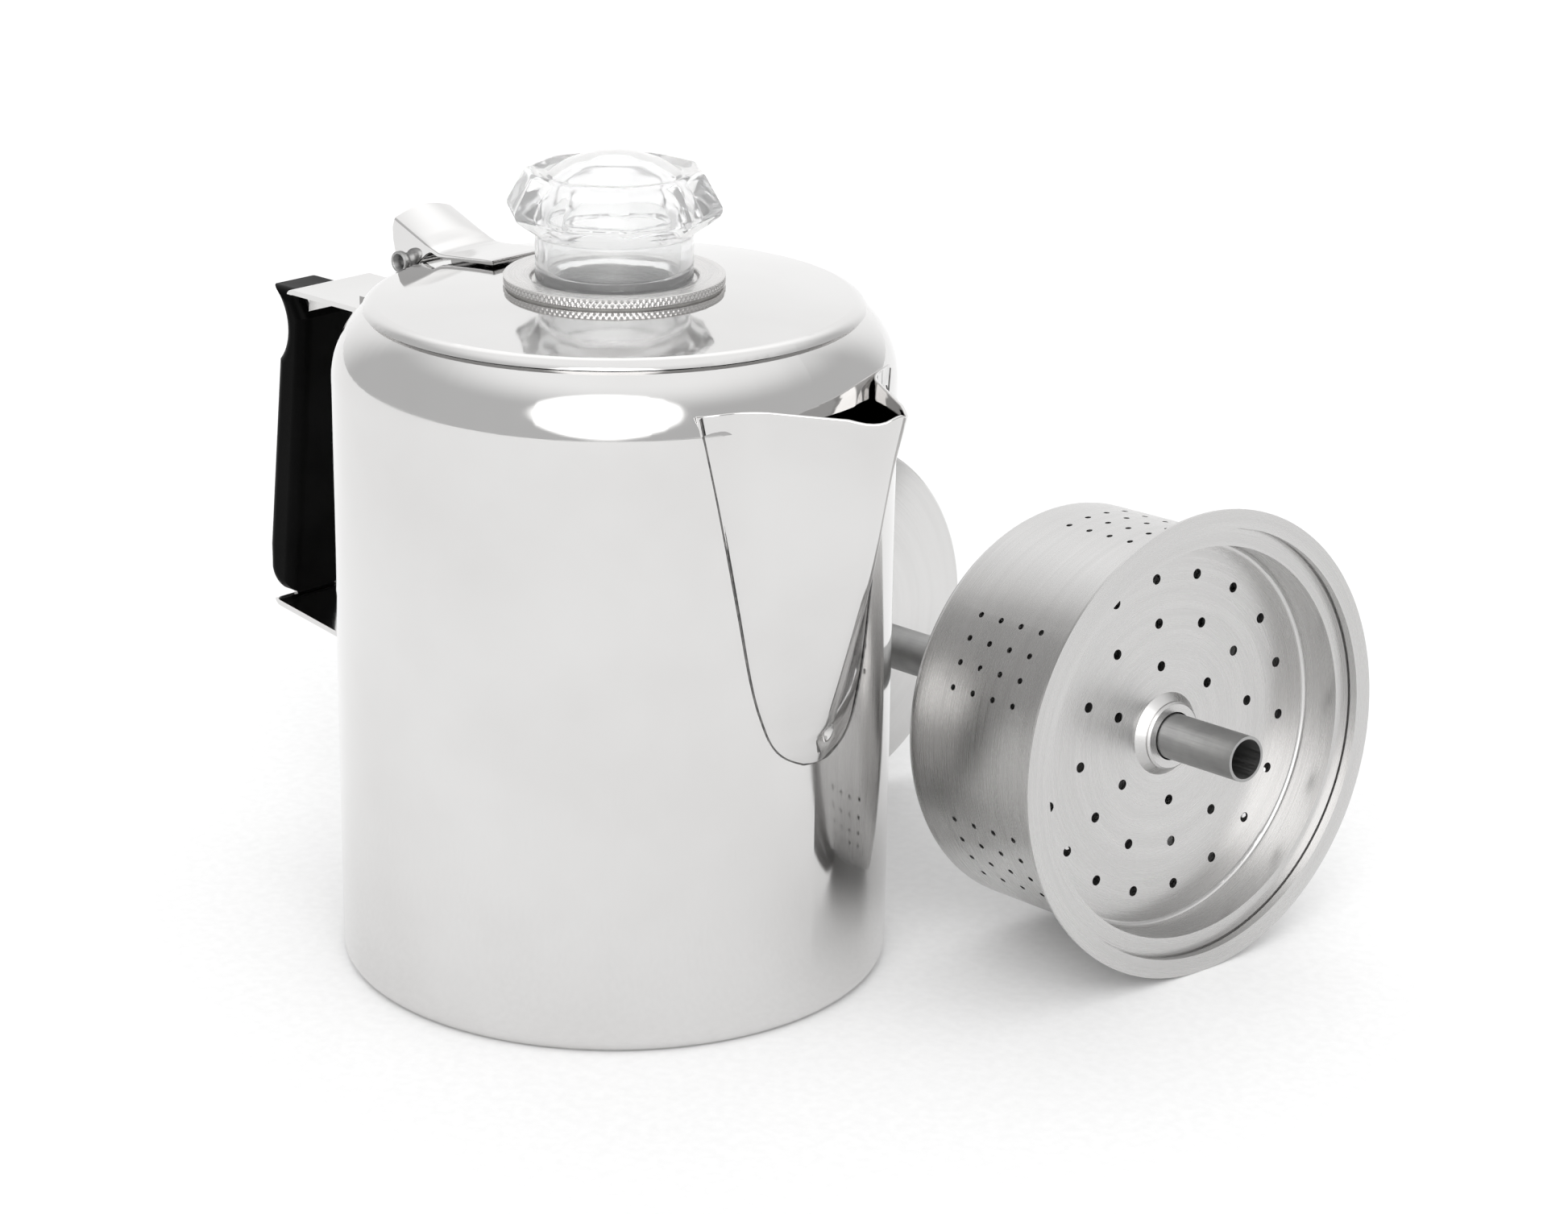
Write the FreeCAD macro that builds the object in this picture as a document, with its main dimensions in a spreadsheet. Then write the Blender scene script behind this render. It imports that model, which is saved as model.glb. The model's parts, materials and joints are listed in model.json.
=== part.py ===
import FreeCAD, Part
import math
import os
import re

import Sketcher

# Camping percolator. The origin is the centre of the pot's base on the surface it stands on. The
# spout points along +X, the handle along -X and +Z is up. The pump and basket lie beside the pot.

DIMENSIONS = {
    # Pot
    "body_radius": 62.5,
    "pot_sheet": 0.8,
    "base_corner": 3.2,
    "shoulder_start": 136.0,
    "shoulder_radius": 18.7,
    "mouth_radius": 54.2,
    "mouth_edge_depth": 3.6,
    # Spout
    "spout_sheet": 0.8,
    "spout_inside": 48.0,
    "spout_window_top": 138.5,
    "spout_window_bottom": 76.0,
    "spout_window_top_width": 24.0,
    "spout_window_bottom_width": 9.0,
    "spout_rim_start": 40.0,
    "spout_rim_wall": 54.0,
    "spout_rim_base": 142.6,
    "spout_rim_crest": 62.0,
    "spout_rim_crest_height": 144.2,
    "spout_rim_sag": 72.0,
    "spout_rim_sag_height": 143.2,
    "spout_rim_dip": 81.0,
    "spout_rim_dip_height": 141.6,
    "spout_rim_tip": 88.0,
    "spout_rim_tip_height": 147.0,
    "spout_rim_clear": 150.0,
    # Handle
    "strap_thickness": 1.2,
    "strap_width": 24.0,
    "strap_core_width": 12.0,
    "strap_bend": 1.0,
    "strap_top": 139.2,
    "strap_top_reach": 98.9,
    "strap_bottom_reach": 106.9,
    "strap_bottom": 59.0,
    "strap_foot": 52.8,
    "strap_end": 58.5,
    "strap_neck_top": 137.9,
    "strap_neck_bottom": 60.3,
    "grip_width": 17.0,
    "grip_rounding": 3.0,
    "grip_slot_gap": 0.15,
    "grip_top": 137.3,
    "grip_bottom": 60.9,
    "grip_top_inner": 100.8,
    "grip_top_outer": 110.6,
    "grip_hollow_radius": 11.0,
    "grip_waist_outer": 108.2,
    "grip_waist_height": 120.0,
    "grip_belly_outer": 113.6,
    "grip_belly_top": 72.0,
    "grip_heel_top": 66.0,
    "grip_heel_radius": 6.0,
    "grip_heel_outer": 108.8,
    "grip_bottom_inner": 104.7,
    "grip_middle_inner": 98.5,
    "grip_middle_height": 119.0,
    "grip_throat_inner": 97.3,
    "grip_throat_height": 131.3,
    # Hinge
    "hinge_reach": 58.7,
    "hinge_height": 152.6,
    "pin_radius": 1.8,
    "pin_bore": 1.3,
    "pin_length": 23.6,
    "pin_clearance": 0.06,
    "knuckle_radius": 2.8,
    "knuckle_width": 14.4,
    "knuckle_sheet": 1.2,
    "knuckle_web": 64.4,
    "knuckle_foot": 78.0,
    "knuckle_bend": 146.6,
    "knuckle_end": 60.5,
    "knuckle_end_height": 150.6,
    "knuckle_end_back": 61.1,
    "knuckle_end_top": 153.4,
    "bracket_sheet": 1.0,
    "bracket_width": 17.6,
    "ear_radius": 4.0,
    "hood_back": 63.0,
    "hood_top": 163.0,
    "hood_rounding": 0.9,
    "fold_start": 50.6,
    "fold_start_height": 155.5,
    "fold_end": 48.6,
    "fold_end_height": 154.7,
    "tongue_front": 30.0,
    "tongue_front_height": 156.5,
    "dimple_reach": 39.0,
    "dimple_side": 4.6,
    "dimple_radius": 2.0,
    # Lid
    "lid_radius": 55.4,
    "lid_sheet": 0.7,
    "lid_edge": 151.6,
    "lid_corner_radius": 52.6,
    "lid_corner_height": 153.6,
    "lid_seat_radius": 25.2,
    "lid_seat_height": 156.2,
    "lid_hole": 15.5,
    # Knob
    "knob_radius": 24.0,
    "knob_widest": 173.8,
    "knob_shoulder_radius": 19.7,
    "knob_shoulder": 181.7,
    "knob_dome_radius": 14.7,
    "knob_dome_base": 181.0,
    "knob_top": 185.6,
    "knob_neck": 17.4,
    "knob_under": 168.0,
    "knob_seat": 157.5,
    "knob_spigot": 14.0,
    "knob_bore": 12.0,
    "knob_chamber": 14.6,
    "knob_chamber_bottom": 160.0,
    "knob_chamber_shoulder": 173.0,
    "knob_chamber_top": 177.0,
    "knob_bottom": 150.4,
    "knob_lug_radius": 15.0,
    "knob_lug_top": 151.4,
    "knob_flute": 9.0,
    "knob_flute_depth": 1.5,
    "knob_flutes": 10,
    "ring_radius": 24.4,
    "ring_height": 2.3,
    "ring_groove": 18.4,
    "ring_bore": 14.1,
    "ring_sleeve": 15.3,
    "ring_sleeve_bottom": 151.7,
        "gasket_thickness": 0.3,
    "gasket_radius": 24.0,
    "nut_radius": 20.0,
    "nut_height": 3.0,
    # Pump, along its own axis from the foot
    "tube_radius": 5.25,
    "tube_bore": 4.55,
    "tube_top": 147.4,
    "foot_radius": 46.2,
    "foot_sheet": 0.7,
    "foot_edge": 1.4,
    "foot_collar": 12.0,
    "foot_collar_radius": 6.1,
    "foot_cone_radius": 13.0,
    "foot_cone_height": 8.5,
    "stop_radius": 8.0,
    "stop_height": 4.0,
    # Basket, along the same axis
    "basket_sheet": 0.6,
    "basket_floor": 86.9,
    "basket_radius": 47.0,
    "basket_corner": 2.6,
    "basket_ledge": 131.1,
    "basket_step": 50.2,
    "flange_height": 134.7,
    "flange_radius": 53.9,
    "collar_bore": 5.6,
    "collar_radius": 6.6,
    "collar_flange": 8.6,
    "collar_top": 94.0,
    "patch_hole": 0.7,
    "patch_pitch": 6.45,
    "patch_side_pitch": 5.8,
    "patch_first": 100.4,
    "patch_count": 6,
    # Spreader, along the same axis
    "spreader_radius": 45.8,
    "spreader_rim": 49.2,
    "spreader_plate_top": 122.3,
    "spreader_corner": 1.2,
    "boss_radius": 9.6,
    "boss_top_radius": 7.8,
    "boss_height": 1.8,
    "ferrule_flange": 7.9,
    "ferrule_bottom": 118.0,
    "plate_hole": 1.2,
    "inner_ring": 16.2,
    "inner_ring_holes": 6,
    "middle_ring": 26.4,
    "middle_ring_holes": 12,
    "outer_ring": 36.9,
    "outer_ring_holes": 18,
    "ring_start": 4.5,
    # Where the pump lies
    "pump_yaw": -6.8,
    "flange_centre_x": 103.1,
    "flange_centre_y": 84.0,
}

doc = FreeCAD.newDocument("Percolator")
sheet = doc.addObject("Spreadsheet::Sheet", "Dimensions")
for row, (alias, value) in enumerate(DIMENSIONS.items(), start=1):
    sheet.set(f"A{row}", alias)
    sheet.set(f"B{row}", str(value))
    sheet.setAlias(f"B{row}", alias)
doc.recompute()


def bound(text):
    """An expression in the sheet's aliases, as FreeCAD reads it."""
    return re.sub(r"[a-z]+(?:_[a-z]+)+", r"Dimensions.\g<0>", str(text))


def number(text):
    """The present value of an expression in the sheet's aliases."""
    return float(sheet.evalExpression(bound(text)))


def new_body(label):
    body = doc.addObject("PartDesign::Body", label)
    body.Label = label
    return body


def new_sketch(body, role, offset=None):
    """A sketch on one of the body's origin planes, moved along its normal by offset."""
    plane = next(item for item in body.Origin.OriginFeatures if item.Role == role)
    sketch = body.newObject("Sketcher::SketchObject", f"{body.Label}_sketch")
    sketch.AttachmentSupport = [(plane, "")]
    sketch.MapMode = "FlatFace"
    if offset is not None:
        sketch.setExpression("AttachmentOffset.Base.z", bound(offset))
    return sketch


def drive(sketch, kind, *where, text):
    """A dimension of the sketch that follows an expression."""
    index = sketch.addConstraint(Sketcher.Constraint(kind, *where, number(text)))
    sketch.setExpression(f"Constraints[{index}]", bound(text))


def arc_between(start, end, radius):
    """The short arc from start to end, and which of its ends is which.

    It turns left where radius is positive. An arc always runs anticlockwise in a sketch, so one
    that turns right is drawn from its end.
    """
    chord = end - start
    rise = math.sqrt(radius * radius - chord.Length ** 2 / 4)
    left = FreeCAD.Vector(-chord.y, chord.x, 0).normalize()
    centre = start + chord / 2 + left * math.copysign(rise, radius)
    first, last = (start, end) if radius > 0 else (end, start)
    begin, finish_angle = [math.atan2(point.y - centre.y, point.x - centre.x) for point in (first, last)]
    circle = Part.Circle(centre, FreeCAD.Vector(0, 0, 1), abs(radius))
    return Part.ArcOfCircle(circle, begin, finish_angle), (1, 2) if radius > 0 else (2, 1)


def add_path(sketch, corners):
    """Closed outline through corners of (x, y), or (x, y, radius) where an arc leaves the corner."""
    points = [FreeCAD.Vector(number(corner[0]), number(corner[1]), 0) for corner in corners]
    ends = []
    for index, corner in enumerate(corners):
        start = points[index]
        end = points[(index + 1) % len(points)]
        is_arc = len(corner) == 3
        if is_arc:
            curve, order = arc_between(start, end, number(corner[2]))
        else:
            curve, order = Part.LineSegment(start, end), (1, 2)
        edge = sketch.addGeometry(curve, False)
        drive(sketch, "DistanceX", edge, order[0], text=corner[0])
        drive(sketch, "DistanceY", edge, order[0], text=corner[1])
        if is_arc:
            drive(sketch, "Radius", edge, text=f"abs({corner[2]})")
        ends.append(((edge, order[0]), (edge, order[1])))
    for index, (_, last) in enumerate(ends):
        following = ends[(index + 1) % len(ends)][0]
        sketch.addConstraint(Sketcher.Constraint("Coincident", *last, *following))


def add_circle(sketch, across, up, radius):
    centre = FreeCAD.Vector(number(across), number(up), 0)
    edge = sketch.addGeometry(Part.Circle(centre, FreeCAD.Vector(0, 0, 1), number(radius)), False)
    drive(sketch, "DistanceX", edge, 3, text=across)
    drive(sketch, "DistanceY", edge, 3, text=up)
    drive(sketch, "Radius", edge, text=radius)


def finish(body, feature, removes=False):
    """Recompute after a feature, and make sure that it changed the body the way it should."""
    before = body.Tip.Shape.Volume if body.Tip and body.Tip is not feature else 0.0
    body.Tip = feature
    doc.recompute()
    after = feature.Shape.Volume
    if (after >= before) if removes else (after <= before):
        raise RuntimeError(f"{feature.Label} changed {body.Label} from {before:.1f} to {after:.1f} mm3")
    return feature


def add_feature(body, kind, sketch, removes=False, **values):
    """A sketch-based feature: text values are expressions, others are set as they are."""
    before = body.Tip
    feature = body.newObject(f"PartDesign::{kind}", f"{body.Label}_{kind}")
    feature.Profile = sketch
    for name, value in values.items():
        if isinstance(value, str) and name in ("Length", "Angle"):
            feature.setExpression(name, bound(value))
        else:
            setattr(feature, name, value)
    body.Tip = before
    return finish(body, feature, removes)


def spin(body, corners, removes=False):
    """A closed outline turned about the body's own Z axis."""
    sketch = new_sketch(body, "XZ_Plane")
    add_path(sketch, corners)
    kind = "Groove" if removes else "Revolution"
    return add_feature(body, kind, sketch, removes, ReferenceAxis=(sketch, ["V_Axis"]), Angle=360.0)


def extrude(body, role, corners, length, offset=None, removes=False, **values):
    """A closed outline padded to both sides, or cut from one side."""
    sketch = new_sketch(body, role, offset)
    add_path(sketch, corners)
    kind = "Pocket" if removes else "Pad"
    return add_feature(body, kind, sketch, removes, Length=length, **values)


def repeat(body, feature, count):
    """Copies of a feature about the body's own Z axis."""
    before = body.Tip.Shape.Volume
    pattern = body.newObject("PartDesign::PolarPattern", f"{body.Label}_pattern")
    pattern.Originals = [feature]
    axis = next(item for item in body.Origin.OriginFeatures if item.Role == "Z_Axis")
    pattern.Axis = (axis, [""])
    pattern.Angle = 360.0
    pattern.setExpression("Occurrences", bound(count))
    body.Tip = pattern
    doc.recompute()
    if pattern.Shape.Volume == before:
        raise RuntimeError(f"{pattern.Label} changed nothing")
    return pattern


def fillet(body, radius, chosen):
    """Round the edges that pass the test."""
    base = body.Tip
    edges = base.Shape.Edges
    names = [f"Edge{i}" for i, edge in enumerate(edges, start=1) if chosen(edge)]
    feature = body.newObject("PartDesign::Fillet", f"{body.Label}_fillet")
    feature.Base = (base, names)
    feature.setExpression("Radius", bound(radius))
    body.Tip = feature
    doc.recompute()
    if not names or abs(feature.Shape.Volume - base.Shape.Volume) < 1e-6:
        raise RuntimeError(f"{feature.Label} rounded nothing")
    return feature


def is_across(edge):
    """Whether a straight edge runs along Y."""
    return edge.BoundBox.YLength > 0.99 * edge.Length


# Rings of holes in the basket's floor and in the spreader: radius and number of holes.
HOLE_RINGS = [
    ("inner_ring", "inner_ring_holes"),
    ("middle_ring", "middle_ring_holes"),
    ("outer_ring", "outer_ring_holes"),
]


def hole_ring(body, radius, count, height, depth):
    """Holes of the perforation's size through a flat plate, evenly spaced round the body's axis."""
    turn = FreeCAD.Rotation(FreeCAD.Vector(0, 0, 1), number("ring_start"))
    place = turn.multVec(FreeCAD.Vector(number(radius), 0, 0))
    sketch = new_sketch(body, "XY_Plane", height)
    centre = FreeCAD.Vector(place.x, place.y, 0)
    edge = sketch.addGeometry(Part.Circle(centre, FreeCAD.Vector(0, 0, 1), number("plate_hole")), False)
    spoke = sketch.addGeometry(Part.LineSegment(FreeCAD.Vector(0, 0, 0), centre), True)
    sketch.addConstraint(Sketcher.Constraint("Coincident", spoke, 1, -1, 1))
    sketch.addConstraint(Sketcher.Constraint("Coincident", spoke, 2, edge, 3))
    angle = sketch.addConstraint(Sketcher.Constraint("Angle", spoke, math.radians(number("ring_start"))))
    sketch.setExpression(f"Constraints[{angle}]", bound("ring_start * 1 deg"))
    drive(sketch, "Distance", spoke, text=radius)
    drive(sketch, "Radius", edge, text="plate_hole")
    hole = add_feature(body, "Pocket", sketch, True, Length=depth)
    repeat(body, hole, count)


def make_pot_body():
    """Drawn shell: base corner, straight wall, rounded shoulder and a mouth with a turned-down edge."""
    body = new_body("pot_body")
    centre = "(body_radius - shoulder_radius)"
    hem = "(mouth_radius + pot_sheet)"
    mouth_top = f"shoulder_start + sqrt(shoulder_radius ^ 2 - (mouth_radius - {centre}) ^ 2)"
    hem_top = f"shoulder_start + sqrt((shoulder_radius - pot_sheet) ^ 2 - ({hem} - {centre}) ^ 2)"
    spin(body, [
        ("0", "0"),
        ("body_radius - base_corner", "0", "base_corner"),
        ("body_radius", "base_corner"),
        ("body_radius", "shoulder_start", "shoulder_radius"),
        ("mouth_radius", mouth_top),
        ("mouth_radius", f"{mouth_top} - mouth_edge_depth"),
        (hem, f"{mouth_top} - mouth_edge_depth"),
        (hem, hem_top, "-(shoulder_radius - pot_sheet)"),
        ("body_radius - pot_sheet", "shoulder_start"),
        ("body_radius - pot_sheet", "base_corner", "-(base_corner - pot_sheet)"),
        ("body_radius - base_corner", "pot_sheet"),
        ("0", "pot_sheet"),
    ])
    extrude(body, "YZ_Plane", [
        ("spout_window_bottom_width", "spout_window_bottom"),
        ("spout_window_top_width", "spout_window_top"),
        ("-spout_window_top_width", "spout_window_top"),
        ("-spout_window_bottom_width", "spout_window_bottom"),
    ], "body_radius * 2", removes=True, Reversed=True)


def pot_outside():
    """Outline of the space that the pot fills, from its axis to its outer face."""
    centre = "(body_radius - shoulder_radius)"
    mouth_top = f"shoulder_start + sqrt(shoulder_radius ^ 2 - (mouth_radius - {centre}) ^ 2)"
    return [
        ("0", "0"),
        ("body_radius", "0"),
        ("body_radius", "shoulder_start", "shoulder_radius"),
        ("mouth_radius", mouth_top),
        ("0", mouth_top),
    ]


# Level sections of the spout: height, nose distance from the axis, half width where the sides meet
# the wall, how far the sides run on inside it, and the nose's radius.
SPOUT_SECTIONS = [
    ("62.0", "63.3", "4.6", "1.5", "1.8"),
    ("66.0", "64.4", "11.0", "1.5", "2.0"),
    ("71.0", "65.6", "14.0", "1.5", "2.2"),
    ("80.0", "69.1", "17.1", "2.0", "2.2"),
    ("100.0", "75.0", "21.0", "3.0", "2.3"),
    ("125.0", "80.6", "25.6", "5.0", "2.9"),
    ("140.0", "83.2", "28.5", "6.0", "4.2"),
    ("147.0", "86.2", "29.8", "7.0", "5.0"),
]


def spout_section(body, height, nose, half_width, run_on, nose_radius, inset):
    """Level section of the spout: two flat sides from inside the wall to a rounded nose."""
    wall = f"(sqrt(body_radius ^ 2 - {half_width} ^ 2) - {inset})"
    front = f"({nose} - {inset})"
    run = f"({front} - {wall})"
    slant = f"sqrt({half_width} ^ 2 + {run} ^ 2)"
    radius = f"({nose_radius} - {inset} * 0.8)"
    touch_x = f"{front} - {radius} * (1 - {half_width} / {slant})"
    touch_y = f"{radius} * {run} / {slant}"
    end_x = f"{wall} - {run_on} * {run} / {slant}"
    end_y = f"({half_width} - {inset} * 0.5) * (1 + {run_on} / {slant})"
    sketch = new_sketch(body, "XY_Plane", height)
    add_path(sketch, [
        ("spout_inside", f"-({end_y})"),
        (end_x, f"-({end_y})"),
        (touch_x, f"-({touch_y})", radius),
        (touch_x, touch_y),
        (end_x, end_y),
        ("spout_inside", end_y),
    ])
    return sketch


def make_spout():
    """Folded V of sheet: an outer loft less an inner one, trimmed by the pot and along its rim."""
    body = new_body("spout")
    for inset, first, kind in (("0", 0, "AdditiveLoft"), ("spout_sheet", 1, "SubtractiveLoft")):
        sketches = [spout_section(body, *section, inset) for section in SPOUT_SECTIONS[first:]]
        before = body.Tip
        loft = body.newObject(f"PartDesign::{kind}", f"spout_{kind}")
        loft.Profile = sketches[0]
        loft.Sections = sketches[1:]
        body.Tip = before
        finish(body, loft, removes=kind == "SubtractiveLoft")
    spin(body, pot_outside(), removes=True)
    extrude(body, "XZ_Plane", [
        ("spout_rim_start", "spout_rim_base"),
        ("spout_rim_wall", "spout_rim_base"),
        ("spout_rim_crest", "spout_rim_crest_height", "-18"),
        ("spout_rim_sag", "spout_rim_sag_height"),
        ("spout_rim_dip", "spout_rim_dip_height", "12"),
        ("spout_rim_tip", "spout_rim_tip_height"),
        ("spout_rim_tip", "spout_rim_clear"),
        ("spout_rim_start", "spout_rim_clear"),
    ], "body_radius * 2", removes=True, Midplane=True)


def make_handle_strap():
    """Steel strip bent into a C: top leg, leaning back inside the grip, and sloping bottom leg."""
    body = new_body("handle_strap")
    thick = "strap_thickness"
    extrude(body, "XZ_Plane", [
        ("-strap_end", "strap_top"),
        ("-strap_top_reach", "strap_top"),
        ("-strap_bottom_reach", "strap_bottom"),
        ("-strap_end", "strap_foot"),
        ("-strap_end", f"strap_foot + {thick}"),
        (f"-strap_bottom_reach + {thick}", f"strap_bottom + {thick}"),
        (f"-strap_top_reach + {thick}", f"strap_top - {thick}"),
        ("-strap_end", f"strap_top - {thick}"),
    ], "strap_width", Midplane=True)
    for inner, radius in (("0", f"strap_bend + {thick}"), (thick, "strap_bend")):
        bends = [number(f"{inner} - strap_top_reach"), number(f"{inner} - strap_bottom_reach")]
        fillet(body, radius, lambda edge: is_across(edge) and any(
            abs(edge.CenterOfMass.x - bend) < 0.05 for bend in bends))
    for side in ("-1", "1"):
        extrude(body, "YZ_Plane", [
            (f"{side} * strap_core_width / 2", "strap_neck_bottom"),
            (f"{side} * strap_width", "strap_neck_bottom"),
            (f"{side} * strap_width", "strap_neck_top"),
            (f"{side} * strap_core_width / 2", "strap_neck_top"),
        ], "body_radius * 2", removes=True)
    spin(body, pot_outside(), removes=True)


def make_handle_grip():
    """Black moulded bar with a flared top, rounded all round, with a slot for the strap."""
    body = new_body("handle_grip")
    extrude(body, "XZ_Plane", [
        ("-grip_top_inner", "grip_top"),
        ("-grip_top_outer", "grip_top", "-grip_hollow_radius"),
        ("-grip_waist_outer", "grip_waist_height"),
        ("-grip_belly_outer", "grip_belly_top"),
        ("-grip_belly_outer", "grip_heel_top", "grip_heel_radius"),
        ("-grip_heel_outer", "grip_bottom"),
        ("-grip_bottom_inner", "grip_bottom"),
        ("-grip_middle_inner", "grip_middle_height"),
        ("-grip_throat_inner", "grip_throat_height"),
    ], "grip_width", Midplane=True)
    half = number("grip_width") / 2
    fillet(body, "grip_rounding", lambda edge: abs(abs(edge.CenterOfMass.y) - half) < 0.01)
    gap = "grip_slot_gap"
    thick = "strap_thickness"
    extrude(body, "XZ_Plane", [
        (f"-strap_top_reach - {gap}", "strap_top"),
        (f"-strap_bottom_reach - {gap}", "strap_bottom"),
        (f"-strap_bottom_reach + {thick} + {gap}", f"strap_bottom + {thick}"),
        (f"-strap_top_reach + {thick} + {gap}", f"strap_top - {thick}"),
    ], f"strap_core_width + 2 * {gap}", removes=True, Midplane=True)


def make_hinge_knuckle():
    """Sheet bracket: a foot on the strap, a web up past the shoulder and a barrel round the pin."""
    body = new_body("hinge_knuckle")
    sheet_thick = "knuckle_sheet"
    extrude(body, "XZ_Plane", [
        ("-knuckle_foot", "strap_top"),
        (f"-knuckle_web + {sheet_thick}", "strap_top"),
        (f"-knuckle_web + {sheet_thick}", "knuckle_bend"),
        ("-knuckle_end", "knuckle_end_height"),
        ("-knuckle_end_back", "knuckle_end_top"),
        ("-knuckle_web", f"knuckle_bend + {sheet_thick} / 2"),
        ("-knuckle_web", f"strap_top + {sheet_thick}"),
        ("-knuckle_foot", f"strap_top + {sheet_thick}"),
    ], "knuckle_width", Midplane=True)
    for radius, kind in (("knuckle_radius", "Pad"), ("pin_radius", "Pocket")):
        sketch = new_sketch(body, "XZ_Plane")
        add_circle(sketch, "-hinge_reach", "hinge_height", radius)
        length = "knuckle_width" if kind == "Pad" else "knuckle_width * 2"
        add_feature(body, kind, sketch, kind == "Pocket", Length=length, Midplane=True)


def make_hinge_pin():
    """Tube, longer than the hinge is wide."""
    body = new_body("hinge_pin")
    sketch = new_sketch(body, "XZ_Plane")
    add_circle(sketch, "-hinge_reach", "hinge_height", "pin_radius")
    add_circle(sketch, "-hinge_reach", "hinge_height", "pin_bore")
    add_feature(body, "Pad", sketch, Length="pin_length", Midplane=True)


def lid_top():
    """Outline of the lid's upper face, from its edge to the flat seat under the knob."""
    return [
        ("lid_radius", "lid_edge", "3.9"),
        ("lid_corner_radius", "lid_corner_height", "400"),
        ("lid_seat_radius", "lid_seat_height"),
    ]


def make_lid_plate():
    """Shallow dome with a flat seat for the knob, a rounded corner and a turned-down edge."""
    body = new_body("lid_plate")
    thick = "lid_sheet"
    spin(body, [
        ("lid_hole", "lid_seat_height"),
        ("lid_hole", f"lid_seat_height - {thick}"),
        ("lid_seat_radius", f"lid_seat_height - {thick}", "-400"),
        (f"lid_corner_radius - {thick} * 0.3", f"lid_corner_height - {thick}", "-3.2"),
        (f"lid_radius - {thick}", "lid_edge"),
    ] + lid_top())


def make_lid_hinge_bracket():
    """Hood over the hinge, flat tongue welded to the lid and two ears that turn on the pin."""
    body = new_body("lid_hinge_bracket")
    thick = "bracket_sheet"
    extrude(body, "XZ_Plane", [
        ("-hood_back", "hood_top"),
        ("-hood_back", f"hood_top - {thick}"),
        ("-fold_start", "fold_start_height"),
        ("-fold_end", "fold_end_height"),
        ("-tongue_front", "tongue_front_height"),
        ("-tongue_front", f"tongue_front_height + {thick}"),
        ("-fold_end", f"fold_end_height + {thick}"),
        ("-fold_start", f"fold_start_height + {thick}"),
    ], "bracket_width", Midplane=True)
    for side in (-1, 1):
        extrude(body, "XZ_Plane", [
            ("-hood_back", f"hood_top - {thick}"),
            ("-hinge_reach - ear_radius", "hinge_height", "ear_radius"),
            ("-hinge_reach", "hinge_height - ear_radius"),
            ("-fold_start", "fold_start_height"),
        ], thick, offset=f"{side} * (bracket_width - {thick}) / 2", Midplane=True)
    for side in ("-1", "1"):
        sketch = new_sketch(body, "XY_Plane", "fold_start_height")
        add_circle(sketch, "-dimple_reach", f"{side} * dimple_side", "dimple_radius")
        add_feature(body, "Pad", sketch, Length=f"2 * {thick}", Reversed=True)
    spin(body, [("0", "lid_edge"), *lid_top(), ("0", "lid_seat_height")], removes=True)
    half = number("bracket_width") / 2
    fillet(body, "hood_rounding", lambda edge: abs(abs(edge.CenterOfMass.y) - half) < 0.01
           and -number("hood_back") < edge.CenterOfMass.x < -number("fold_start")
           and edge.CenterOfMass.z > number("fold_start_height + 2") and edge.Length > number("ear_radius"))
    sketch = new_sketch(body, "XZ_Plane")
    add_circle(sketch, "-hinge_reach", "hinge_height", "pin_radius + pin_clearance")
    add_feature(body, "Pocket", sketch, True, Length="bracket_width * 2", Midplane=True)


def make_knob():
    """Fluted head with a domed top on a hollow neck, and a spigot with lugs through the lid."""
    body = new_body("knob")
    rise = "(knob_top - knob_dome_base)"
    spin(body, [
        ("0", "knob_top"),
        ("0", "knob_chamber_top"),
        ("knob_bore", "knob_chamber_shoulder"),
        ("knob_chamber", "knob_under"),
        ("knob_chamber", "knob_chamber_bottom"),
        ("knob_bore", "knob_seat"),
        ("knob_bore", "knob_bottom"),
        ("knob_lug_radius", "knob_bottom"),
        ("knob_lug_radius", "knob_lug_top"),
        ("knob_spigot", "knob_lug_top"),
        ("knob_spigot", "knob_seat"),
        ("knob_neck", "knob_seat"),
        ("knob_neck", "knob_under"),
        ("knob_radius - 0.5", "knob_widest - 1.6"),
        ("knob_radius", "knob_widest"),
        ("knob_shoulder_radius", "knob_shoulder"),
        ("knob_shoulder_radius - 1.4", "knob_shoulder + 0.3"),
        ("knob_dome_radius", "knob_dome_base", f"(knob_dome_radius ^ 2 + {rise} ^ 2) / (2 * {rise})"),
    ])
    sketch = new_sketch(body, "XY_Plane", "knob_under")
    add_circle(sketch, "knob_radius - knob_flute_depth + knob_flute", "0", "knob_flute")
    flute = add_feature(body, "Pocket", sketch, True, Length="knob_top - knob_under", Reversed=True)
    repeat(body, flute, "knob_flutes")


def make_knob_ring():
    """Ring with a groove for the knob's neck, on a sleeve through the lid."""
    body = new_body("knob_ring")
    base = "lid_seat_height + gasket_thickness"
    spin(body, [
        ("ring_bore", "ring_sleeve_bottom"),
        ("ring_sleeve", "ring_sleeve_bottom"),
        ("ring_sleeve", base),
        ("ring_radius", base),
        ("ring_radius", f"{base} + ring_height"),
        ("ring_groove + 1.2", f"{base} + ring_height - 0.3"),
        ("ring_groove", "knob_seat - 0.3"),
        ("ring_bore", "knob_seat - 0.3"),
    ])


def make_knob_gasket():
    body = new_body("knob_gasket")
    spin(body, [
        ("lid_hole", "lid_seat_height"),
        ("gasket_radius", "lid_seat_height"),
        ("gasket_radius", "lid_seat_height + gasket_thickness"),
        ("lid_hole", "lid_seat_height + gasket_thickness"),
    ])


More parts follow.
